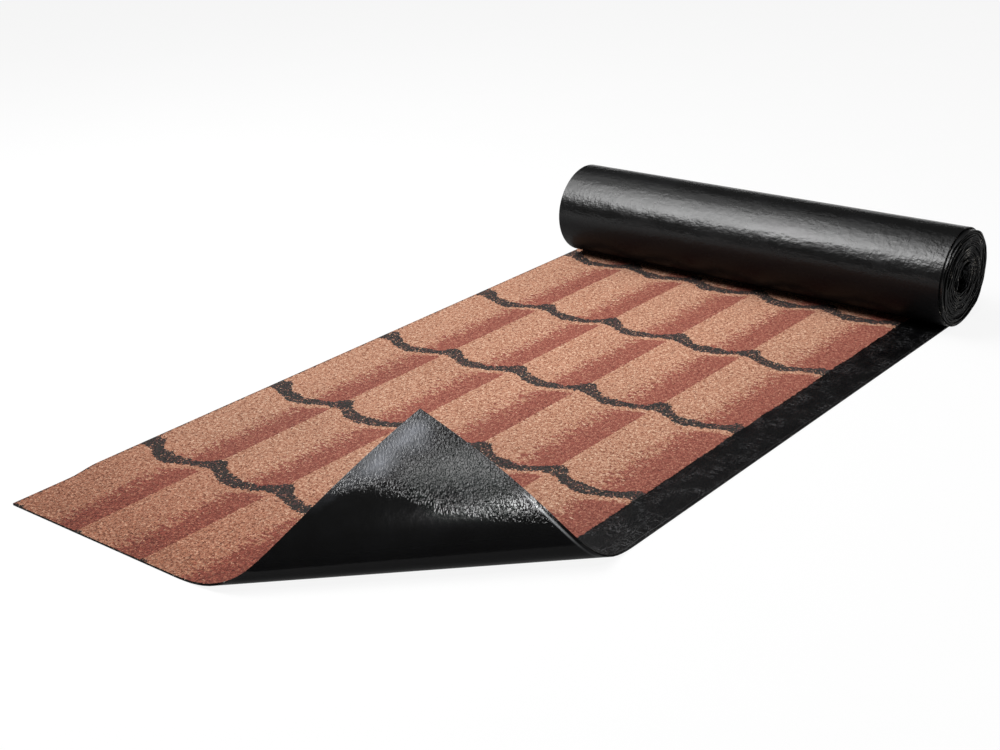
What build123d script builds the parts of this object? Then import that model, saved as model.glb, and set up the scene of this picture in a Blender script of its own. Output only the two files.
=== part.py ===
"""A roll of mineral surfaced roofing felt, partly unrolled on a level floor.

Millimetres, +Z up. X runs across the felt with the bare selvedge at +X, Y runs
along it with the free end at -Y and the roll at +Y. The origin is the middle of
the underside of the bounding box.
"""
import os
from math import atan, cos, degrees, hypot, pi, sin, sqrt

from build123d import *

# The stock.
felt_width = 1000.0
felt_thickness = 4.0
stock_length = 10000.0
selvedge_width = 92.0
selvedge_drop = 1.0

# The unrolled run and the wound roll. The turns lie closer under the axis, where
# the roll's own weight presses them, than in front of it and behind it.
run_length = 1686.6
bore_radius = 30.0
pressed_air = 0.25
slack_air = 0.85
winding_drift = 20.0
drift_inset = 1.0
skew_share = -0.024
outline_points_per_turn = 16

# The spiral seam between the turns, as it opens at the cut ends.
seam_width = 0.8
selvedge_seam_width = 1.4
seam_depth = 2.5
arcs_per_turn = 3
seam_start_turn = 2.05
seam_inner_margin = 1.2

# The corner at the free end, curled back over the felt. Both cut edges run from
# where they lift off the floor to the tip along a smooth curve. Its places are
# shares of the two lifted lengths: in from the side edge, up the run, and high.
curl_on_end_edge = 546.0
curl_on_side_edge = 498.0
end_edge_handle_share = 0.32
side_edge_handle_share = 0.287
tip_shares = (0.657, 0.797, 0.385)
end_edge_approach_shares = (0.73, 0.036, 0.14)
side_edge_approach_shares = (-0.046, 0.764, 0.162)
curl_sections = 24
tip_share = 0.992
curve_samples = 400

pressed_pitch = felt_thickness + pressed_air
slack_pitch = felt_thickness + slack_air
mean_pitch = (pressed_pitch + slack_pitch) / 2
wound_length = stock_length - run_length
mean_radius = sqrt(bore_radius**2 + mean_pitch * wound_length / pi)
turn_count = (mean_radius - bore_radius) / mean_pitch
half_height = bore_radius + pressed_pitch * turn_count
half_depth = bore_radius + slack_pitch * turn_count
half_width = felt_width / 2
axis_height = half_height


def wound(turns, inset=0):
    """Place on the winding, counted in turns inward from under the axis, round the far side."""
    angle = 2 * pi * turns
    along = half_depth - slack_pitch * turns - inset
    high = half_height - pressed_pitch * turns - inset
    return (run_length + along * sin(angle), axis_height - high * cos(angle))


def spiral(start_turn, end_turn, inset, per_turn):
    """Smooth curve along the winding."""
    steps = max(int((end_turn - start_turn) * per_turn), per_turn)
    shares = [step / steps for step in range(steps + 1)]
    return Spline(
        *[wound(start_turn + (end_turn - start_turn) * share, inset) for share in shares]
    )


def across_felt(face, start, width):
    """Stand a face drawn along the run and up, and carry it across the felt, askew as the roll is."""
    foot = Plane(origin=(start, skew_share * start, 0), x_dir=(0, 1, 0), z_dir=(1, 0, 0))
    return extrude(foot * face, amount=width * hypot(1, skew_share), dir=(1, skew_share, 0))


def wound_body(first_turn, inset, start, width):
    """Everything wound inside the given turn, less an inset, as one closed body."""
    edge = spiral(first_turn, first_turn + 1, inset, outline_points_per_turn)
    return across_felt(make_face([edge, Line(edge @ 1, edge @ 0)]), start, width)


def winding_arcs(inset):
    """The seam's run along the winding, one arc after another."""
    last_turn = turn_count - seam_inner_margin
    arc_count = int((last_turn - seam_start_turn) * arcs_per_turn)
    step = 1 / arcs_per_turn
    starts = [seam_start_turn + step * index for index in range(arc_count)]
    return [
        ThreePointArc(
            wound(start, inset), wound(start + step / 2, inset), wound(start + step, inset)
        )
        for start in starts
    ]


def seam(width, start):
    """One end's seam between the turns, as a cutter."""
    outer = winding_arcs(-width / 2)
    inner = winding_arcs(width / 2)
    foot = Line(outer[0] @ 0, inner[0] @ 0)
    head = Line(outer[-1] @ 1, inner[-1] @ 1)
    return across_felt(make_face([*outer, head, *inner, foot]), start, seam_depth)


# The run and the outer turn keep to the felt's own width. The turns inside have
# drifted a little towards the selvedge.
run = extrude(
    make_face(
        Polyline(
            (-half_width, 0),
            (half_width, 0),
            (half_width, run_length + skew_share * half_width),
            (-half_width, run_length - skew_share * half_width),
            (-half_width, 0),
        )
    ),
    amount=felt_thickness,
)
outer_turn = wound_body(0, 0, -half_width, felt_width)
recess = wound_body(1, drift_inset, -felt_width, felt_width - half_width + winding_drift)
drifted_turns = wound_body(1, drift_inset, 0, half_width + winding_drift)
felt = run + outer_turn + drifted_turns - recess

# The bore left by the winding mandrel, along the axis of the roll.
bore_middle = Vector(winding_drift, run_length + skew_share * winding_drift, axis_height)
bore = (
    Pos(bore_middle)
    * Rot(0, 0, degrees(atan(skew_share)))
    * Rot(0, 90, 0)
    * Cylinder(bore_radius, 2 * felt_width)
)

# The spiral seam in both ends.
far_seam = seam(seam_width, winding_drift - half_width)
near_seam = seam(selvedge_seam_width, half_width + winding_drift - seam_depth)

# The bare selvedge, thinner by the mineral layer, on the flat run.
selvedge_cut = Pos(half_width - selvedge_width, 0, felt_thickness - selvedge_drop) * Box(
    selvedge_width,
    run_length - half_depth,
    felt_thickness,
    align=(Align.MIN, Align.MIN, Align.MIN),
)

# The corner is taken off the flat run along the line where it lifts.
corner_cut = extrude(
    make_face(
        Polyline(
            (half_width - curl_on_end_edge, 0),
            (half_width, curl_on_side_edge),
            (half_width + curl_on_side_edge, curl_on_side_edge),
            (half_width, -curl_on_end_edge),
            (half_width - curl_on_end_edge, 0),
        )
    ),
    amount=felt_thickness,
)


def from_corner(inward_share, along_share, up_share):
    """A place given by shares of the lifted lengths, from where the square corner would lie."""
    return Vector(
        half_width - inward_share * curl_on_end_edge,
        along_share * curl_on_side_edge,
        up_share * curl_on_side_edge,
    )


def even_points(first, second, third, last):
    """Points at even steps of length along a cubic curve through four controls."""
    raw = []
    for sample in range(curve_samples + 1):
        s = sample / curve_samples
        r = 1 - s
        raw.append(
            first * r**3 + second * (3 * s * r**2) + third * (3 * s**2 * r) + last * s**3
        )
    lengths = [0.0]
    for before, after in zip(raw, raw[1:]):
        lengths.append(lengths[-1] + (after - before).length)
    places = []
    for section in range(curl_sections + 1):
        target = lengths[-1] * tip_share * section / curl_sections
        index = max(i for i in range(curve_samples) if lengths[i] <= target)
        share = (target - lengths[index]) / (lengths[index + 1] - lengths[index])
        places.append(raw[index] + (raw[index + 1] - raw[index]) * share)
    return places


tip = from_corner(*tip_shares)
end_edge = even_points(
    from_corner(1, 0, 0),
    from_corner(1 - end_edge_handle_share, 0, 0),
    from_corner(*end_edge_approach_shares),
    tip,
)
side_edge = even_points(
    from_corner(0, 1, 0),
    from_corner(0, 1 - side_edge_handle_share, 0),
    from_corner(*side_edge_approach_shares),
    tip,
)

# The curled corner is lofted through its straight rulings, each one a strip as
# thick as the felt that joins the two cut edges.
rulings = []
for index, (left, right) in enumerate(zip(end_edge, side_edge)):
    before = max(index - 1, 0)
    after = min(index + 1, curl_sections)
    forward = (end_edge[after] - end_edge[before]) + (side_edge[after] - side_edge[before])
    inner_side = Vector(0, 0, 1) if index == 0 else forward.cross(right - left)
    up = inner_side.normalized() * felt_thickness
    rulings.append(Wire(Polyline(left, right, right + up, left + up, left).edges()))
curled_corner = Solid.make_loft(rulings, ruled=True)

roofing_felt = felt - bore - far_seam - near_seam - selvedge_cut - corner_cut + curled_corner

box = roofing_felt.bounding_box()
placing = Vector(-box.center().X, -box.center().Y, -box.min.Z)
roofing_felt = Pos(placing) * roofing_felt

os.makedirs("parts", exist_ok=True)
export_step(roofing_felt, "parts/roofing_felt.step")
print("roofing_felt", roofing_felt.bounding_box(), "volume", roofing_felt.volume)
print("solids", len(roofing_felt.solids()), "valid", roofing_felt.is_valid)
print("half height", half_height, "half depth", half_depth, "turns", turn_count)
print("moved by", placing, "middle of the bore", bore_middle + placing)
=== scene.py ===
# %% [markdown]
# # A partly unrolled roll of mineral roofing felt
# The real thing is one long strip: a bitumen sheet with coloured stone granules on its top
# face, a thin black film under it, and a bare black selvedge along one edge for the next
# strip to lap over. It is wound with the film outwards, so the roll looks black and shiny
# while the run in front of it shows the printed tiles. One free corner has curled back.
# This lesson draws the strip flat, as it left the factory, and lets a node tree bend it.

# %% The frame
from math import cos, pi, radians, sin, sqrt

import bpy
from mathutils import Matrix, Vector


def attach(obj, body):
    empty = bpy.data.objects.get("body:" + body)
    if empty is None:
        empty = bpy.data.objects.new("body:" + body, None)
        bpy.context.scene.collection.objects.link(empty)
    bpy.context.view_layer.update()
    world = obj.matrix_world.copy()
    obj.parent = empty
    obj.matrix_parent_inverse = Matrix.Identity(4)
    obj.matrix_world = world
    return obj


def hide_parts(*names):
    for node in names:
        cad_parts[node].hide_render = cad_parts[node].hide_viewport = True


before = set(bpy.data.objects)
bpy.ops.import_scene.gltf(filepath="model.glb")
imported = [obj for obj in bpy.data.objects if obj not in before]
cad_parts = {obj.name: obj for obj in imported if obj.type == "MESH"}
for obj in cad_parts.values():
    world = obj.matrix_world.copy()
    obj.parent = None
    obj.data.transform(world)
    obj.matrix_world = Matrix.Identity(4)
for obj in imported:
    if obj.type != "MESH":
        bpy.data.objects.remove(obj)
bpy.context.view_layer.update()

# %% [markdown]
# ## The stock's own sizes
# A maker would quote these: a metre wide, ten metres long, four millimetres thick, with a
# 92 mm selvedge. The winding has two pitches because a roll that lies down is pressed a
# little flat. Everything else, such as how many turns there are, follows from them. The
# placing moves the drawing, whose free end lies at zero, to the middle of the CAD box.

# %% Sizes of the strip and of the winding
width = 1.0
thickness = 0.004
selvedge = 0.092
selvedge_drop = 0.001
stock_length = 10.0
run = 1.6866
bore = 0.030
pressed_pitch = 0.00425
slack_pitch = 0.00485
skew = -0.024
drift = 0.020
placing = (-0.010, -0.908334, 0.0)

half = width / 2
mean_pitch = (pressed_pitch + slack_pitch) / 2
mean_radius = sqrt(bore**2 + mean_pitch * (stock_length - run) / pi)
turns = (mean_radius - bore) / mean_pitch
half_height = bore + pressed_pitch * turns
half_depth = bore + slack_pitch * turns
print("turns %.2f, roll %.3f high and %.3f deep" % (turns, 2 * half_height, 2 * half_depth))

# %% [markdown]
# ## The camera
# The camera stands where the photographer's did: a little above waist height, off the
# selvedge side of the free end, with a normal lens and a slight tilt. Its matrix is built
# from its three own axes, which is clearer than turning it with three angles. The lamps
# will be set up by the same function.


# %% Camera
def stance(place, right, up, back):
    """The matrix of something at a place, from its own three axes."""
    return Matrix.Translation(place) @ Matrix((right, up, back)).transposed().to_4x4()


camera_place = (1.7689, -2.20273, 1.2134)
yaw, down, roll = radians(40.79), radians(22.43), radians(-3.16)
forward = Vector((-sin(yaw) * cos(down), cos(yaw) * cos(down), -sin(down)))
level = Vector((cos(yaw), sin(yaw), 0))
upright = level.cross(forward)
right = level * cos(roll) + upright * sin(roll)
up = upright * cos(roll) - level * sin(roll)
lens = bpy.data.cameras.new("camera")
lens.sensor_width = 36
lens.lens = 55.8
camera = bpy.data.objects.new("camera", lens)
camera.matrix_world = stance(camera_place, right, up, -forward)
bpy.context.scene.collection.objects.link(camera)
bpy.context.scene.camera = camera
print("camera at", camera_place)

# %% [markdown]
# ## Writing nodes as sums
# Shader trees and geometry trees share their maths nodes. This class wraps one socket, so
# that an ordinary Python expression adds the Math nodes it needs, in either kind of tree.
# `node` adds any other node: its settings are set first, then the values of its sockets. A
# socket is named with underscores for spaces, or by its number, as in `_2`, where a node
# has several of one name.


# %% Socket arithmetic
class Value:
    def __init__(self, tree, socket):
        self.tree, self.socket = tree, socket

    def node(self, kind, settings=None, **sockets):
        added = self.tree.nodes.new(kind)
        for name, setting in (settings or {}).items():
            if name == "stops":
                ramp = added.color_ramp
                while len(ramp.elements) < len(setting):
                    ramp.elements.new(1.0)
                for element, (place, colour) in zip(ramp.elements, setting):
                    element.position, element.color = place, colour
            elif name == "interpolation":
                added.color_ramp.interpolation = setting
            else:
                setattr(added, name, setting)
        for name, value in sockets.items():
            key = int(name[1:]) if name[0] == "_" else name.replace("_", " ")
            if isinstance(value, Value):
                self.tree.links.new(value.socket, added.inputs[key])
            else:
                added.inputs[key].default_value = value
        return added

    def take(self, added, output=0):
        return Value(self.tree, added.outputs[output])

    def maths(self, operation, *values, clamp=False):
        sockets = {"_%d" % i: value for i, value in enumerate(values)}
        settings = {"operation": operation, "use_clamp": clamp}
        return self.take(self.node("ShaderNodeMath", settings, **sockets))

    def vector(self, operation, *values):
        sockets = {"_%d" % i: value for i, value in enumerate(values)}
        return self.take(self.node("ShaderNodeVectorMath", {"operation": operation}, **sockets))

    def __add__(self, other): return self.maths("ADD", self, other)
    def __radd__(self, other): return self.maths("ADD", other, self)
    def __sub__(self, other): return self.maths("SUBTRACT", self, other)
    def __rsub__(self, other): return self.maths("SUBTRACT", other, self)
    def __mul__(self, other): return self.maths("MULTIPLY", self, other)
    def __rmul__(self, other): return self.maths("MULTIPLY", other, self)
    def __truediv__(self, other): return self.maths("DIVIDE", self, other)
    def __rtruediv__(self, other): return self.maths("DIVIDE", other, self)
    def __pow__(self, other): return self.maths("POWER", self, other)
    def __neg__(self): return self.maths("MULTIPLY", self, -1.0)
    def __abs__(self): return self.maths("ABSOLUTE", self)
    def __gt__(self, other): return self.maths("GREATER_THAN", self, other)
    def __lt__(self, other): return self.maths("LESS_THAN", self, other)

    def between(self, low, high):
        """0 at low and below, 1 at high and above, with soft ends."""
        share = self.maths("DIVIDE", self - low, high - low, clamp=True)
        return share * share * (3.0 - 2.0 * share)

    def at_least(self, other): return self.maths("MAXIMUM", self, other)
    def at_most(self, other): return self.maths("MINIMUM", self, other)
    def sine(self): return self.maths("SINE", self)
    def cosine(self): return self.maths("COSINE", self)
    def root(self): return self.maths("SQRT", self)
    def part(self): return self.maths("FRACT", self)
    def whole(self): return self.maths("FLOOR", self)

    def split(self):
        apart = self.node("ShaderNodeSeparateXYZ", None, Vector=self)
        return [self.take(apart, i) for i in range(3)]

    def join(self, x, y, z):
        return self.take(self.node("ShaderNodeCombineXYZ", None, X=x, Y=y, Z=z))

    def times(self, factor):
        """A vector or colour made longer or brighter."""
        settings = {"operation": "SCALE"}
        return self.take(self.node("ShaderNodeVectorMath", settings, _0=self, Scale=factor))

    def mix(self, first, second, kind="RGBA"):
        """first where this value is 0, second where it is 1."""
        settings = {"data_type": kind, "clamp_factor": True}
        first_input = {"FLOAT": 2, "VECTOR": 4, "RGBA": 6}[kind]
        choices = {"_%d" % first_input: first, "_%d" % (first_input + 1): second}
        added = self.node("ShaderNodeMix", settings, _0=self, **choices)
        return self.take(added, {"FLOAT": 0, "VECTOR": 1, "RGBA": 2}[kind])


print("socket arithmetic ready")

# %% [markdown]
# ## The strip, drawn flat
# Drawn flat, the strip is only a thin plate, and every point's place is also its place on
# the print: across, along and up. The plate needs its lines where it will bend. The corner
# will roll up about straight lines, so its mesh is a fan of rulings from one cut edge to
# the other, the run can be coarse, and the winding gets sixty rows a turn. The columns
# stand close at both edges and at the step down to the selvedge.

# %% Places of the rows and columns
end_lift = 0.546
side_lift = 0.498
corner_rows = 40
ruling_steps = 30
tip_share = 0.998
run_steps = 30
rows_per_turn = 60
last_turn = turns - 0.93
column_shares = [
    0, 0.002, 0.006, 0.015, 0.035, 0.08, 0.15, 0.25, 0.35, 0.45, 0.55, 0.65, 0.75, 0.83,
    0.89, 0.9055, 0.9105, 0.935, 0.965, 0.985, 0.994, 0.998, 1.0,
]


def length_at(turn):
    """Length of felt wound from the outside down to this turn."""
    return pi * turn * (2 * mean_radius - mean_pitch * turn)


run_rows = [side_lift + (run - side_lift) * i / run_steps for i in range(run_steps)]
wound_rows = [run + length_at(i / rows_per_turn)
              for i in range(int(last_turn * rows_per_turn) + 1)]
print("rows", len(run_rows) + len(wound_rows), "columns", len(column_shares))

# %% [markdown]
# The grid's nodes are collected once, so that cells which touch share them. A cell at the
# tip or at the end of the lift line may fall together to a triangle.

# %% The grid of cells
nodes, index_of, cells = [], {}, []


def node_at(x, s):
    key = (round(x, 6), round(s, 6))
    if key not in index_of:
        index_of[key] = len(nodes)
        nodes.append((x, s))
    return index_of[key]


def fill(rows):
    """Join neighbouring rows of places with four-sided cells."""
    for row, following in zip(rows, rows[1:]):
        for i in range(len(row) - 1):
            cell = [node_at(*place) for place in
                    (row[i], row[i + 1], following[i + 1], following[i])]
            cell = [n for k, n in enumerate(cell) if n != cell[k - 1]]
            if len(cell) > 2:
                cells.append(cell)


def lifted(u, t):
    """A place in the curled corner, by how far it has rolled up and along its ruling."""
    return (half - (1 - u) * (1 - t) * end_lift, (1 - u) * t * side_lift)


beside_corner = []
for step in range(ruling_steps + 1):
    lift_x, s = lifted(0, step / ruling_steps)
    beside_corner.append([(-half + share * (lift_x + half), s) for share in column_shares])
fill(beside_corner)
fill([[(-half + share * width, s) for share in column_shares] for s in run_rows + wound_rows])
fill([[lifted(tip_share * i / corner_rows, step / ruling_steps)
       for i in range(corner_rows + 1)] for step in range(ruling_steps + 1)])
print("cells", len(cells))

# %% [markdown]
# Each node becomes a top and a bottom point. The top drops a millimetre where the selvedge
# has no mineral layer. An edge that only one cell uses is on the rim, and gets a wall, so
# the plate is closed. Every face notes its side, by which it gets its finish later.

# %% The flat plate
mineral_side, film_side, cut_side = range(3)
border_slope = 0.004
count = len(nodes)
points, faces, sides = [], [], []
for x, s in nodes:
    past_border = x - (half - selvedge) + border_slope / 2
    bareness = min(max(past_border / border_slope, 0), 1)
    points.append((x, s, thickness - selvedge_drop * bareness))
points += [(x, s, 0.0) for x, s in nodes]
directed = {(cell[i - 1], cell[i]) for cell in cells for i in range(len(cell))}
for cell in cells:
    faces += [cell, [n + count for n in reversed(cell)]]
    sides += [mineral_side, film_side]
for a, b in directed:
    if (b, a) not in directed:
        faces.append([a + count, b + count, b, a])
        sides.append(cut_side)
plate = bpy.data.meshes.new("felt")
plate.from_pydata(points, [], faces)
plate.attributes.new("side", "INT", "FACE").data.foreach_set("value", sides)
plate.shade_smooth()
plate.set_sharp_from_angle(angle=radians(40))
felt = bpy.data.objects.new("felt", plate)
bpy.context.scene.collection.objects.link(felt)
print("flat plate: %d points, %d faces" % (len(points), len(faces)))

# %% [markdown]
# ## Finishes
# Colours are written as they look in daylight, from 0 to 255, and turned into the linear
# numbers that a shader wants. The felt's finishes read the attribute "flat", which holds
# each point's place on the strip before it was bent, so a print or a scratch follows the
# felt round the roll and over the curled corner.


# %% Helpers for finishes
def paint(red, green, blue):
    return tuple((c / 12.92 if c <= 0.04045 else ((c + 0.055) / 1.055) ** 2.4)
                 for c in (red / 255, green / 255, blue / 255)) + (1.0,)


def finish_named(name):
    """An empty material, its starting value, and its Principled shader."""
    material = bpy.data.materials.new(name)
    material.use_nodes = True
    tree = material.node_tree
    shader = next(n for n in tree.nodes if n.type == "BSDF_PRINCIPLED")
    return material, Value(tree, None), shader


def connect(value, slot):
    value.tree.links.new(value.socket, slot)


def flat_place(start):
    """The place on the flat strip, in metres: across, along and up."""
    return start.take(start.node("ShaderNodeAttribute", {"attribute_name": "flat"}), 1)


def unevenness(source, scale, detail):
    """Noise about zero."""
    added = source.node("ShaderNodeTexNoise", {"noise_dimensions": "2D"}, Vector=source,
                        Scale=scale, Detail=detail, Roughness=0.6)
    return source.take(added) - 0.5


def emboss(shader, height, strength, distance):
    """Let a height, in parts of a distance, show in a shader's normal."""
    bump = height.node("ShaderNodeBump", None, Height=height, Strength=strength,
                       Distance=distance)
    connect(height.take(bump), shader.inputs["Normal"])


def lay_over(material, shader, share, other):
    """Mix another shader over a material's own, by a share."""
    output = next(n for n in material.node_tree.nodes if n.type == "OUTPUT_MATERIAL")
    both = share.node("ShaderNodeMixShader", None, _0=share, _2=other)
    material.node_tree.links.new(shader.outputs[0], both.inputs[1])
    connect(share.take(both), output.inputs["Surface"])


print("white is", paint(255, 255, 255))

# %% [markdown]
# ## The mineral face
# The print is only stones: the factory drops granules of a few colours in bands and presses
# them into the hot bitumen. So the shader first finds the granule, as a Voronoi cell, then
# asks in which band the middle of that granule lies. A granule has one colour, and the
# bands get their speckled borders by themselves. Each tile is peach with a brick red
# shadow on its right, and a charcoal scallop marks the lower edge of each row.
#
# Noises read at the granule's middle loosen the pattern: `ragged` moves borders by some
# millimetres, `wander` lets bands swell and thin, `clotted` gathers granules of like
# colour, and `streaks` draws the fine lines in which granules fall off the drum.

# %% Where a granule lies in the print
granule_size = 0.0021
border_swing, border_fray = 0.020, 0.016
mineral, start, mineral_shader = finish_named("mineral_granules")
flat = flat_place(start)
place_x, place_s, _ = flat.split()
grains = start.node("ShaderNodeTexVoronoi", {"voronoi_dimensions": "2D"}, Vector=flat,
                    Scale=1 / granule_size, Randomness=0.95)
grain_reach = start.take(grains, "Distance")
grain_place = start.take(grains, "Position")
apart = start.node("ShaderNodeSeparateColor", None, Color=start.take(grains, "Color"))
chance_a, chance_b, chance_c = (start.take(apart, i) for i in range(3))
grain_x, grain_s, _ = grain_place.split()
ragged = unevenness(grain_place, 16.0, 1.0) * border_swing
ragged = ragged + unevenness(grain_place, 90.0, 2.0) * border_fray
wander = unevenness(grain_place, 34.0, 2.0)
clotted = chance_a * 0.82 + 0.09 + unevenness(grain_place, 150.0, 2.0) * 1.5
streaks = unevenness(start.join(grain_x * 52.0, grain_s * 170.0, 0.0), 1.0, 2.0)
print("granules of %.1f mm" % (granule_size * 1000))

# %% [markdown]
# A tile repeats every 177.5 mm across and every 328.5 mm along. The scallop is drawn by two
# profiles over the tile's width, kept in colour ramps: how high the charcoal band's middle
# lies, and how wide the band is, both in millimetres. It is a blob where two tiles meet, and
# hangs in a thin loop below the middle of each tile.


# %% The charcoal scallops
def profile(source, *points):
    """A height over a share of the tile, from (share, millimetres) points."""
    stops = [(place, (height / profile_top,) * 3 + (1.0,)) for place, height in points]
    settings = {"stops": stops, "interpolation": "CARDINAL"}
    ramp = source.node("ShaderNodeValToRGB", settings, Fac=source)
    return source.take(ramp) * (profile_top / 1000)


profile_top = 40
tile_width, tile_length = 0.1775, 0.3285
first_line, first_trough = -0.4855, 0.2785
tiles_across = 4.93
band_swell, band_fray = 0.016, 0.010
across = ((grain_x - first_line) / tile_width).at_least(0.0).at_most(tiles_across)
share = across.part()
column = across.whole()
middle = profile(share, (0.0, 32), (0.07, 31), (0.15, 22), (0.27, 8), (0.45, 0), (0.62, 1),
                 (0.78, 8), (0.90, 20), (1.0, 32))
broad = profile(share, (0.0, 21), (0.09, 21), (0.15, 17), (0.27, 14.5), (0.45, 16),
                (0.65, 13.5), (0.80, 11.5), (0.90, 13.5), (0.95, 18), (1.0, 21))
row_place = (grain_s - first_trough + ragged * 0.6 - middle) / tile_length
row_share = (row_place + 0.5).part() - 0.5
from_band = row_share * tile_length
band_edge = broad + wander * band_swell + unevenness(grain_place, 140.0, 1.0) * band_fray
band = abs(from_band) < band_edge
print("tile %.1f by %.1f mm" % (tile_width * 1000, tile_length * 1000))

# %% [markdown]
# The brick shadow fills the right of the tile and thins out towards its middle, in clumps
# and streaks. It leaves a peach rim under the band. On the selvedge's half of the sheet it
# starts a little further left.

# %% The brick shadows
shade_starts, shade_full = 0.46, 0.84
shade_sooner = 0.045
rim_inner, rim_outer = 0.006, 0.022
early = column.between(1.2, 2.4) * shade_sooner
clumps = unevenness(grain_place, 22.0, 2.0) * 0.16 + streaks * 0.75
clumps = clumps * (1.0 - share.between(0.80, 0.95))
fade = (share + early + clumps).between(shade_starts, shade_full)
below_band = (0.0 - from_band) - broad
rim = (below_band + wander * 0.012).between(rim_inner, rim_outer).at_least(from_band > 0.0)
shaded = fade * rim
print("shadow over the right %.0f %% of a tile" % (100 * (1 - shade_starts)))

# %% [markdown]
# Each family of granules has its own few colours. A ramp with hard steps picks one of them
# by chance, so the proportions are simply the widths of the steps. A few charcoal granules
# are missing from the bands, and a few loose ones stand along the left edge.


# %% Granule colours
def granules(chance, *family):
    """One colour out of a family of (share, colour)."""
    stops, place = [], 0.0
    for part, colour in family:
        stops.append((place, colour))
        place += part
    settings = {"stops": stops, "interpolation": "CONSTANT"}
    return chance.take(chance.node("ShaderNodeValToRGB", settings, Fac=chance))


peach = granules(clotted, (0.15, paint(138, 86, 66)), (0.21, paint(180, 123, 96)),
                 (0.32, paint(201, 147, 119)), (0.21, paint(215, 165, 138)),
                 (0.11, paint(239, 199, 170)))
brick = granules(clotted, (0.14, paint(120, 61, 52)), (0.38, paint(150, 84, 71)),
                 (0.32, paint(168, 99, 83)), (0.16, paint(196, 136, 113)))
charcoal = granules(chance_a, (0.34, paint(42, 41, 40)), (0.40, paint(60, 57, 54)),
                    (0.14, paint(80, 73, 70)), (0.12, paint(112, 76, 74)))
thin_shade, shade_range = 0.20, 0.56
loose_strip, loose_share = 0.005, 0.45
dropped_share = 0.94
colour = (shaded > chance_b * shade_range + thin_shade).mix(peach, brick)
loose = (grain_x + ragged * 0.2 < loose_strip - half) * (chance_c < loose_share)
dropped = (chance_c + unevenness(grain_place, 120.0, 2.0) * 0.5) < dropped_share
colour = (band * dropped).at_least(loose).mix(colour, charcoal)
print("families: peach, brick, charcoal")

# %% [markdown]
# The sheet is not one tone from end to end. Towards the free end it is darker and browner,
# and its granules stand out more; the left side is a little darker than the right. Slow
# noise adds the faint patches of a sheet that was handled.

# %% The tone of the print
end_tone, gained_along, lost_left = 0.54, 0.38, 0.13
gain_from, gain_over = 0.05, 1.25
end_warmth = (0.95, 0.80, 0.755, 1.0)
patchy = unevenness(flat, 5.0, 3.0) * 0.16 + unevenness(flat, 60.0, 3.0) * 0.10
towards_roll_share = ((place_s - gain_from) / gain_over).at_least(0.0).at_most(1.0) ** 0.7
left_side = 1.0 - place_x.between(-0.50, -0.05)
towards_end = 1.0 - place_s.between(0.02, 0.50)
clots = unevenness(grain_place, 230.0, 2.0)
speckle = (chance_b - 0.5) * 0.10 + clots * (0.10 + towards_end * 0.95)
tone = end_tone + gained_along * towards_roll_share + patchy + speckle + streaks * 0.12
tone = tone * (1.0 - left_side * lost_left)
warmth = towards_end.mix((1.0, 1.0, 1.0, 1.0), end_warmth)
toned = start.vector("MULTIPLY", colour.times(tone), warmth)
print("tone %.2f at the free end, %.2f at the roll" % (end_tone, end_tone + gained_along))

# %% [markdown]
# The selvedge has no granules: it is bare bitumen, black and a little greasy, with fine
# drag lines along the strip and wrinkles. The wrinkles' crests are painted pale as
# highlights, and a painted highlight runs as a line along its outer edge. Its border is
# ragged because the last granules stand where they fell.

# %% The selvedge
border_inset = 0.0035
line_inset, line_drift, line_sharpness = 0.0045, 0.004, 900.0
bare = (grain_x + ragged * 0.30) > (half - selvedge + border_inset)
drag = unevenness(start.join(place_x * 60.0, place_s * 9.0, 0.0), 1.0, 3.0)
waved = start.join(place_x * 190.0 + drag * 6.0, place_s * 60.0, 0.0)
wrinkles_and_highlights = (1.0 - abs(unevenness(waved, 1.0, 2.0)) * 18.0).at_least(0.0)
wrinkles_and_highlights = wrinkles_and_highlights * (unevenness(flat, 20.0, 3.0) + 0.5).between(0.38, 0.72)
# A painted highlight line along the outer edge.
from_outer_highlight = abs((half - line_inset + drag * line_drift) - place_x)
outer_highlight = (1.0 - from_outer_highlight * line_sharpness) * (wrinkles_and_highlights + 0.6)
wrinkles_and_highlights = wrinkles_and_highlights.at_least(outer_highlight)
pits = unevenness(flat, 260.0, 3.0)
bitumen = (drag + 0.25).between(0.1, 0.5).mix(paint(6, 6, 7), paint(14, 14, 14))
# Painted highlight: the wrinkle crests and the outer line are mixed in pale grey.
bitumen = (wrinkles_and_highlights * 0.6).mix(bitumen, paint(88, 88, 90))
print("selvedge %.0f mm wide" % (selvedge * 1000))

# %% [markdown]
# The granules are matt, with a glint on a few of them, and each stands up as a small dome.

# %% Colour, gloss and relief of the mineral face
connect(bare.mix(toned, bitumen), mineral_shader.inputs["Base Color"])
glint = (chance_c > 0.93) * (chance_b > 0.4)
mineral_rough = bare.mix(0.92 - glint * 0.35, 0.20 + drag * 0.14, "FLOAT")
connect(mineral_rough, mineral_shader.inputs["Roughness"])
mineral_shader.inputs["Specular IOR Level"].default_value = 0.25
stone_height = (1.0 - grain_reach * 1.3) * (0.6 + 0.6 * chance_b)
bitumen_height = drag * 1.4 + pits * 1.3 + wrinkles_and_highlights * 1.3
emboss(mineral_shader, bare.mix(stone_height, bitumen_height, "FLOAT"), 0.70, 0.0012)
print("mineral face:", len(mineral.node_tree.nodes), "nodes")
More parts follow.
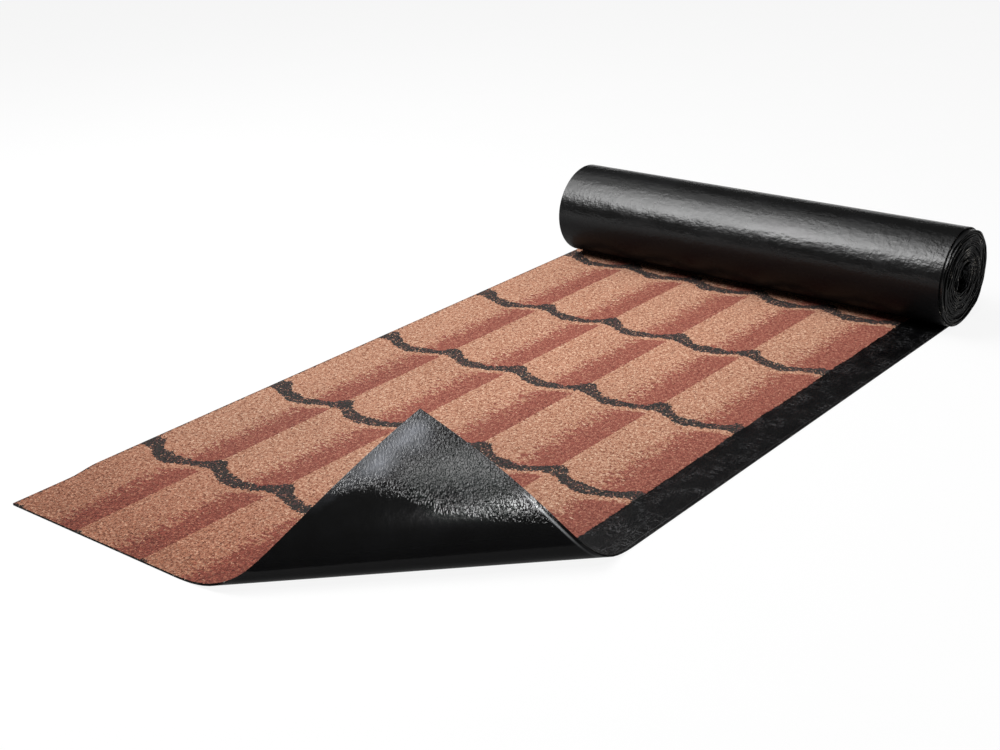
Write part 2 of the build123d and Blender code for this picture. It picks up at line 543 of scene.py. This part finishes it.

# %% [markdown]
# ## The film
# The underside is a thin black film melted onto the bitumen. On the roll it is tight and
# shiny, with faint creases and the dents of the granules below it. On the curled corner it
# shows how far the felt has been bent: black and smooth near the fold, then crazed with
# fine wrinkles, and towards the tip a grey bloom, partly dust and partly a painted
# highlight of the light from above. The masks follow the rulings about which the corner
# rolled up, and the crazing begins sooner towards the side edge.

# %% Where the corner's film is crazed, and dusty with a painted highlight
crazed_from, crazed_full = 0.57, 0.69
dust_highlight_from, dust_highlight_full = 0.50, 0.78
film, start, film_shader = finish_named("black_film")
flat = flat_place(start)
place_x, place_s, _ = flat.split()
to_end, to_side = place_s, half - place_x
rolled = 1.0 - (to_side / end_lift + to_end / side_lift)
on_ruling = (to_end / side_lift) / (1.0 - rolled).at_least(0.001)
lifted_part = (rolled > 0.0) * (to_end < side_lift)
clouds = unevenness(flat, 14.0, 4.0)
sooner = 0.38 * (on_ruling - 0.27).at_least(0.0) + unevenness(flat, 26.0, 3.0) * 0.07
crazed = (rolled + sooner).between(crazed_from, crazed_full) * lifted_part
later = 0.38 * on_ruling - clouds * 0.18
dust_and_highlight = (rolled - later).between(dust_highlight_from, dust_highlight_full) * lifted_part
dust_and_highlight = dust_and_highlight * (0.35 + 0.65 * to_end.between(0.004, 0.030))
dust_and_highlight = dust_and_highlight * (0.3 + 0.7 * to_side.between(0.006, 0.045))
turned = start.join((place_x + place_s) * 190.0, (place_s - place_x) * 100.0, 0.0)
grit = unevenness(turned, 1.0, 1.0)
print("film masks ready")

# %% [markdown]
# The film's black is hazy on the roll and takes the bloom's grey on the corner, which is
# partly dust and partly painted highlight. Where the side edge was bent most sharply, a
# pale line is painted along it as a glint of light.

# %% Colour, gloss and relief of the film
haze = (unevenness(flat, 9.0, 4.0) + 0.5).between(0.3, 0.8)
film_colour = (haze * 0.25).mix(paint(9, 9, 9), paint(29, 30, 32))
# The bloom's grey is partly dust and partly a painted highlight of the light from above.
bloom_and_highlight = dust_and_highlight * (0.80 + clouds * 0.45 + grit * 0.6)
film_colour = bloom_and_highlight.mix(film_colour, paint(119, 122, 130))
# Painted highlight: a pale glint line along the bent side edge.
glint_inset, glint_sharpness = 0.007, 380.0
painted_edge_glint = (1.0 - abs(to_side - glint_inset) * glint_sharpness).at_least(0.0) * lifted_part
painted_edge_glint = painted_edge_glint * place_s.between(0.22, 0.28) * (1.0 - place_s.between(0.40, 0.46))
film_colour = painted_edge_glint.mix(film_colour, paint(180, 182, 184))
connect(film_colour, film_shader.inputs["Base Color"])
film_rough = lifted_part.mix(0.25 + haze * 0.06, 0.12 + dust_and_highlight * 0.29 + crazed * 0.055, "FLOAT")
connect(film_rough, film_shader.inputs["Roughness"])
film_shader.inputs["Specular IOR Level"].default_value = 0.45
creases = unevenness(start.join(place_x * 14.0, place_s * 30.0, 0.0), 1.0, 4.0)
dents = unevenness(flat, 95.0, 2.0)
calm = 1.0 - lifted_part * 0.8
folds = grit.between(-0.12, 0.12)
film_height = (creases * 1.1 + dents * 0.45) * calm + crazed * (0.66 - dust_and_highlight * 0.44) * folds
emboss(film_shader, film_height, 0.8, 0.0015)
print("film gloss and relief ready")

# %% [markdown]
# Two parts of the film lie close to the floor and the print, and would mirror them: the
# underside of the fold, and the roll's front below its middle, which is given in turns of
# the winding. A dull black shader is mixed over them as painted shade in place of those
# reflections.

# %% Film dulled with painted shade
front_from, front_full, front_end = 0.68, 0.77, 1.05
painted_dull_shade = start.node("ShaderNodeBsdfPrincipled", None, Base_Color=paint(15, 15, 16),
                    Roughness=0.5, Specular_IOR_Level=0.06)
under_fold = lifted_part * (1.0 - rolled.between(0.22, 0.40)) * 0.93
low_front = place_s.between(run + length_at(front_from), run + length_at(front_full))
low_front = low_front * (place_s < run + length_at(front_end)) * 0.88
lay_over(film, film_shader, under_fold.at_least(low_front), start.take(painted_dull_shade))
print("film:", len(film.node_tree.nodes), "nodes")

# %% [markdown]
# ## The cut edge
# Cut through, felt shows tarry black bitumen with a dusty line of stone. At the ends of the
# roll the turns have crept together, so the edge is rough there. Pale crumbs, partly stone
# and partly painted glints of small lights, are Voronoi cells: a few along the mineral
# layer, more in clusters on the roll ends.

# %% Cut edge
mineral_from = 0.0022
bare_share, cluster_bare_share = 0.95, 0.72
edge, start, edge_shader = finish_named("cut_bitumen")
place_x, place_s, place_h = flat_place(start).split()
along = start.join(place_s, place_x, place_h)
smear = unevenness(along, 70.0, 4.0)
crumbs = start.node("ShaderNodeTexVoronoi", {"voronoi_dimensions": "3D"}, Vector=along,
                    Scale=420.0)
apart = start.node("ShaderNodeSeparateColor", None, Color=start.take(crumbs, "Color"))
chance, crumb_shade = start.take(apart, 0), start.take(apart, 1)
where = start.take(start.node("ShaderNodeTexCoord"), "Object")
clusters = start.node("ShaderNodeTexNoise", None, Vector=where, Scale=24.0, Detail=2.0)
cluster = start.take(clusters).between(0.52, 0.60) * (place_s > run)
crumb_and_glint = (chance > bare_share) * (place_h > mineral_from)
crumb_and_glint = crumb_and_glint.at_least((chance > cluster_bare_share) * cluster)
edge_colour = (smear + 0.5).between(0.3, 0.7).mix(paint(4, 4, 4), paint(12, 12, 12))
# Painted highlight: the pale crumb colours are partly stone and partly glints.
crumb_and_glint_colour = crumb_shade.mix(paint(66, 63, 59), paint(172, 165, 155))
connect(crumb_and_glint.mix(edge_colour, crumb_and_glint_colour), edge_shader.inputs["Base Color"])
connect(0.52 + smear * 0.4 - crumb_and_glint * 0.2, edge_shader.inputs["Roughness"])
edge_shader.inputs["Specular IOR Level"].default_value = 0.05
emboss(edge_shader, smear + crumb_and_glint * 0.5, 0.6, 0.001)
print("cut edge:", len(edge.node_tree.nodes), "nodes")

# %% [markdown]
# ## Bending the strip
# A node tree does to the flat strip what handling did to the real one. It keeps each
# point's flat place as an attribute for the materials, then moves the point:
# - in the curled corner, onto a straight ruling between two curved cut edges;
# - on the run, nearly nowhere, apart from a slight pull inwards at the free left corner;
# - past the run, onto the spiral. How many turns a length of felt makes comes from the
#   area of the end: length times pitch is the ring between the outer and the inner radius.

# %% The tree and its named inputs
bend = bpy.data.node_groups.new("bend the felt", "GeometryNodeTree")
bend.interface.new_socket("Geometry", in_out="INPUT", socket_type="NodeSocketGeometry")
bend.interface.new_socket("Geometry", in_out="OUTPUT", socket_type="NodeSocketGeometry")
settings = {
    "Run length": run, "Mean radius": mean_radius, "Mean pitch": mean_pitch,
    "Pressed pitch": pressed_pitch, "Slack pitch": slack_pitch, "Half height": half_height,
    "Half depth": half_depth, "Skew": skew, "Drift": drift, "End roughness": 0.0055,
    "End lean": 0.004, "Corner inset": 0.011, "Inner lip": 0.006, "Seed": 4,
}
identifiers = {}
for name, value in settings.items():
    kind = "NodeSocketInt" if name == "Seed" else "NodeSocketFloat"
    socket = bend.interface.new_socket(name, in_out="INPUT", socket_type=kind)
    socket.default_value = value
    identifiers[name] = socket.identifier
group_in = bend.nodes.new("NodeGroupInput")
group_out = bend.nodes.new("NodeGroupOutput")
given = {name: Value(bend, group_in.outputs[name]) for name in settings}
origin = Value(bend, None)
position = origin.take(origin.node("GeometryNodeInputPosition"))
flat_x, flat_s, height = position.split()
print("inputs:", ", ".join(settings))

# %% [markdown]
# The two cut edges of the corner are cubic curves. They leave the floor flat at the ends of
# the lift line and meet at the tip. Sampling them by length keeps the felt from stretching.
# A point of the corner lies on the ruling that joins both curves at its own share of their
# length, and the felt's thickness is added square to that ruling and to its way forward.


# %% The curled corner
def from_corner(inward, along_share, up_share):
    """A place by shares of the lifted lengths, from where the square corner would lie."""
    return (half - inward * end_lift, along_share * side_lift, up_share * side_lift)


def along_curve(controls, share):
    """Place and direction at a share of a cubic curve's length."""
    segment = origin.node("GeometryNodeCurvePrimitiveBezierSegment", {"mode": "POSITION"},
                          Resolution=96, Start=controls[0], Start_Handle=controls[1],
                          End_Handle=controls[2], End=controls[3])
    sampled = origin.node("GeometryNodeSampleCurve", {"mode": "FACTOR"},
                          Curves=origin.take(segment), Factor=share)
    return origin.take(sampled, "Position"), origin.take(sampled, "Tangent")


tip = from_corner(0.657, 0.797, 0.385)
end_curve = (from_corner(1, 0, 0), from_corner(1 - 0.32, 0, 0),
             from_corner(0.73, 0.036, 0.14), tip)
side_curve = (from_corner(0, 1, 0), from_corner(0, 1 - 0.287, 0),
              from_corner(-0.046, 0.764, 0.162), tip)
inward = (half - flat_x) / end_lift
alongside = flat_s / side_lift
reach = (inward + alongside).at_least(1e-5)
rolled_up = (1.0 - reach).at_least(0.0)
end_place, end_way = along_curve(end_curve, rolled_up)
side_place, side_way = along_curve(side_curve, rolled_up)
ruling_place = (alongside / reach).mix(end_place, side_place, "VECTOR")
way = origin.vector("ADD", end_way.times(end_lift), side_way.times(side_lift))
ruling = origin.vector("SUBTRACT", side_place, end_place)
mineral_way = origin.vector("NORMALIZE", origin.vector("CROSS_PRODUCT", way, ruling))
corner_place = origin.vector("ADD", ruling_place, mineral_way.times(height))
print("corner curls from", end_curve[0], "and", side_curve[0], "to", tip)

# %% [markdown]
# The winding turns inwards from under the axis. The film is its outer face, so the flat
# strip's height counts towards the axis. Three things keep the ends from looking turned on
# a lathe: the inner turns have drifted towards the selvedge, the outer turns lean a little
# as they go round, and noise lets single turns creep in or out. At its inmost end the felt
# springs in by the inner lip.

# %% The run and the winding
left_corner = (0.0 - flat_x).between(0.25, 0.50) * (1.0 - flat_s.between(0.12, 0.19))
run_place = origin.join(flat_x + left_corner * given["Corner inset"], flat_s, height)
wound_so_far = (flat_s - given["Run length"]).at_least(0.0)
squared = given["Mean radius"] * given["Mean radius"] - given["Mean pitch"] * wound_so_far / pi
turn = (given["Mean radius"] - squared.at_least(0.0).root()) / given["Mean pitch"]
angle = turn * (2 * pi)
lip = turn.between(last_turn - 0.10, last_turn) * given["Inner lip"]
deep = given["Half depth"] - given["Slack pitch"] * turn - height - lip
tall = given["Half height"] - given["Pressed pitch"] * turn - height - lip
lean = angle.cosine() * given["End lean"] * turn.between(0.1, 0.5)
settled = turn.between(0.0, 1.1) * given["Drift"] - lean
seed_place = origin.join(turn * 0.9, flat_x * 0.4, given["Seed"] * 7.3)
creep_noise = origin.node("ShaderNodeTexNoise", {"noise_dimensions": "3D"},
                          Vector=seed_place, Scale=6.0, Detail=4.0)
near_end = (flat_x * flat_x).between(0.21, 0.25) * turn.between(0.8, 1.6)
creep = (origin.take(creep_noise) - 0.5) * given["End roughness"] * 4.0 * near_end
crosswise = flat_x + settled + creep
wound_place = origin.join(
    crosswise,
    given["Run length"] + deep * angle.sine() + given["Skew"] * crosswise,
    given["Half height"] - tall * angle.cosine(),
)
print("winding ends at turn %.2f of %.2f" % (last_turn, turns))

# %% [markdown]
# Felt skews a little as it is rolled, so the roll's axis isn't quite square to the run. The
# run takes up that skew over its last stretch. The whole strip is then moved to its place
# in the shared frame, and each face gets the finish of its side.

# %% Putting the tree together
take_up = flat_s.between(run - 0.30, run) * given["Skew"]
skewed_run = origin.vector("ADD", run_place, origin.join(0.0, take_up * flat_x, 0.0))
bent = (flat_s > given["Run length"]).mix(skewed_run, wound_place, "VECTOR")
bent = (reach < 0.9999).mix(bent, corner_place, "VECTOR")
bent = origin.vector("ADD", bent, placing)
geometry = Value(bend, group_in.outputs["Geometry"])
kept = origin.take(origin.node("GeometryNodeStoreNamedAttribute",
                               {"data_type": "FLOAT_VECTOR", "domain": "POINT"},
                               Geometry=geometry, Name="flat", Value=position))
moved = origin.take(origin.node("GeometryNodeSetPosition", None, Geometry=kept, Position=bent))
whole = origin.take(origin.node("GeometryNodeRealizeInstances", None, Geometry=moved))
side = origin.take(origin.node("GeometryNodeInputNamedAttribute", {"data_type": "INT"},
                               Name="side"))
same = {"data_type": "INT", "operation": "EQUAL"}
for number, material in ((mineral_side, mineral), (film_side, film), (cut_side, edge)):
    chosen = origin.take(origin.node("FunctionNodeCompare", same, _2=side, _3=number))
    whole = origin.take(origin.node("GeometryNodeSetMaterial", None, Geometry=whole,
                                    Selection=chosen, Material=material))
    plate.materials.append(material)
bend.links.new(whole.socket, group_out.inputs["Geometry"])
print("tree of", len(bend.nodes), "nodes")

# %% [markdown]
# The modifier's inputs are set by their identifiers before the tree is first evaluated. The
# result is then read once into a plain mesh and the modifier is taken off, so that the
# frame meets an ordinary mesh which keeps its attributes and its three materials.

# %% From tree to plain mesh
modifier = felt.modifiers.new("bend", "NODES")
modifier.node_group = bend
for name, value in settings.items():
    modifier[identifiers[name]] = value
bpy.context.view_layer.update()
evaluated = felt.evaluated_get(bpy.context.evaluated_depsgraph_get())
bent_mesh = bpy.data.meshes.new_from_object(evaluated)
bent_mesh.name = "felt"
felt.modifiers.remove(modifier)
felt.data = bent_mesh
print("felt:", len(bent_mesh.vertices), "points,", len(bent_mesh.polygons), "faces,",
      [m.name for m in bent_mesh.materials])

# %% [markdown]
# ## The floor
# A pale studio floor, wide enough to reach the horizon, with a raised rim that closes off
# the world behind it in low views. A camera ray, or one mirrored in the film, meets it
# nearly white; every other ray meets a plain matt floor, so it keeps the felt's shadow.

# %% Floor
far, rim_height = 45.0, 5.0
seen_white = 0.9
foot = [(-far, -far, 0), (far, -far, 0), (far, far, 0), (-far, far, 0)]
walls = [(i, i + 4, (i + 1) % 4 + 4, (i + 1) % 4) for i in range(4)]
floor_mesh = bpy.data.meshes.new("floor")
floor_mesh.from_pydata(foot + [(x, y, rim_height) for x, y, _ in foot], [],
                       [(0, 1, 2, 3)] + walls)
floor = bpy.data.objects.new("floor", floor_mesh)
bpy.context.scene.collection.objects.link(floor)
floor_finish, start, floor_shader = finish_named("pale_floor")
place = start.take(start.node("ShaderNodeTexCoord"), "Object")
speck = unevenness(place, 3.0, 2.0)
connect(speck.between(-0.5, 0.5).mix(paint(240, 240, 240), paint(246, 246, 246)),
        floor_shader.inputs["Base Color"])
floor_shader.inputs["Roughness"].default_value = 0.9
ray = start.node("ShaderNodeLightPath")
seen = start.take(ray, "Is Camera Ray").at_least(start.take(ray, "Is Glossy Ray"))
seen = seen.at_least(start.take(ray, "Is Transmission Ray"))
white = start.take(start.node("ShaderNodeEmission", None, Color=(1, 1, 1, 1), Strength=1.0))
lay_over(floor_finish, floor_shader, seen * seen_white, white)
floor_mesh.materials.append(floor_finish)
print("floor", tuple(floor.dimensions))

# %% [markdown]
# ## The light
# Black film shows little but its reflections, so the lamps are placed by what they draw on
# it. A row of four softboxes hangs over the left, from the free end to behind the roll, and
# grows weaker along it: together they light the print evenly and draw the broad band of
# light on the roll, bright at its lower border. A small softbox straight above the corner
# lights the bloom at the tip, and another beyond its side edge lights the crazed film. All
# hang at one height.

# %% Lamps and world
hang_height, aim_height = 2.9, 0.1


def softbox(name, over, towards, size, watts):
    """A soft rectangular lamp, its width level and across the felt, facing a place."""
    middle, target = Vector((*over, hang_height)), Vector((*towards, aim_height))
    lamp = bpy.data.lights.new(name, "AREA")
    lamp.shape = "RECTANGLE"
    lamp.size, lamp.size_y = size
    lamp.energy = watts
    back = (middle - target).normalized()
    side = Vector((0, 1, 0)).cross(back).normalized()
    holder = bpy.data.objects.new(name, lamp)
    holder.matrix_world = stance(middle, side, back.cross(side), back)
    bpy.context.scene.collection.objects.link(holder)
    print(name, "over", over)


softbox("key softbox", (-1.8, -1.33), (-0.2, 0.9), (2.1, 0.8), 79)
softbox("second softbox", (-1.8, -0.35), (-0.6, 0.9), (2.1, 0.9), 54)
softbox("third softbox", (-1.8, 0.6), (-0.9, 0.9), (2.1, 0.8), 26)
softbox("far softbox", (-1.8, 1.7), (-0.9, 1.2), (2.1, 1.3), 6.5)
softbox("corner softbox", (0.05, -0.42), (0.05, -0.42), (0.5, 0.34), 4.6)
softbox("edge softbox", (1.00, -0.92), (0.7, -0.8), (0.7, 0.45), 27)
room = bpy.data.worlds.new("room")
room.use_nodes = True
background = next(n for n in room.node_tree.nodes if n.type == "BACKGROUND")
background.inputs["Color"].default_value = (1, 1, 1, 1)
background.inputs["Strength"].default_value = 0.05
bpy.context.scene.world = room
bpy.context.scene.view_settings.view_transform = "Standard"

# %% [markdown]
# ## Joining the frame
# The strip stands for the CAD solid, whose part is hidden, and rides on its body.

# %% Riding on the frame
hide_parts("roofing_felt")
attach(felt, "root")
